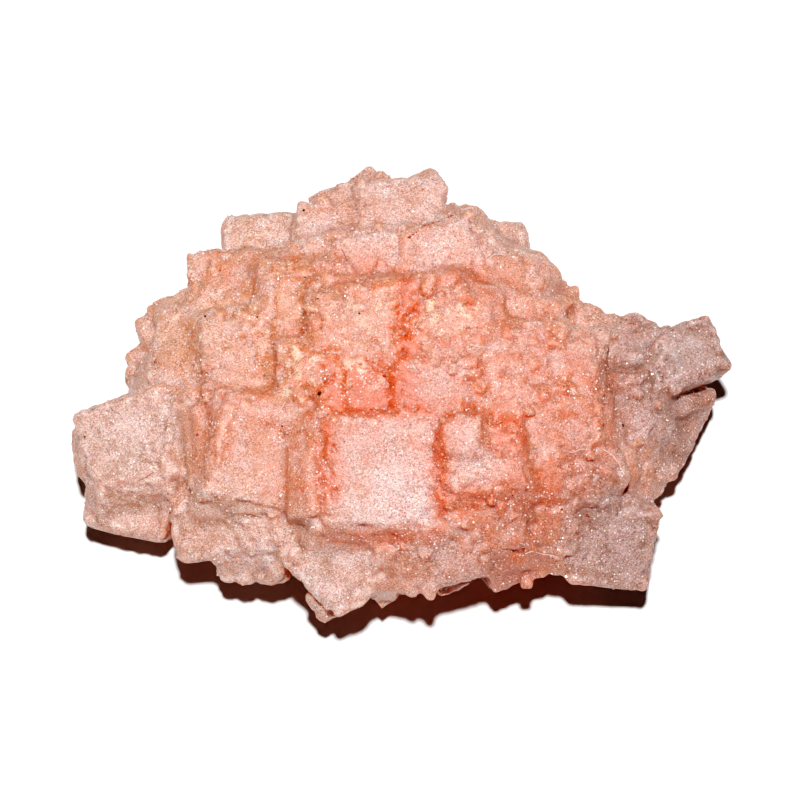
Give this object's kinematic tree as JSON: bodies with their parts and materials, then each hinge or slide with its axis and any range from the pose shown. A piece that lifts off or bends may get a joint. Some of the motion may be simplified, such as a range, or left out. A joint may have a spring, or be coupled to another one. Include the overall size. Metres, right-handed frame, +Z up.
{
  "type": "halite crystal cluster",
  "caption": "Cluster of intergrown pink halite cubes, hopper-faced and etched, in one loaf-shaped lump that rests on a flat base.",
  "frame": {"origin": "under the middle of the bounding box, in the plane of the flat base the lump rests on", "axes": "+X along the lump's length, towards the end with the grey fin; +Y towards the crown, away from the large frosted cube's side; +Z up"},
  "size_m": [0.0982, 0.0686, 0.0342],
  "materials": {
    "halite": "cloudy salmon-pink salt, frosted on the faces, deeper orange in the hollows"
  },
  "bodies": {
    "root": {"halite_cluster": "halite"}
  },
  "joints": []
}
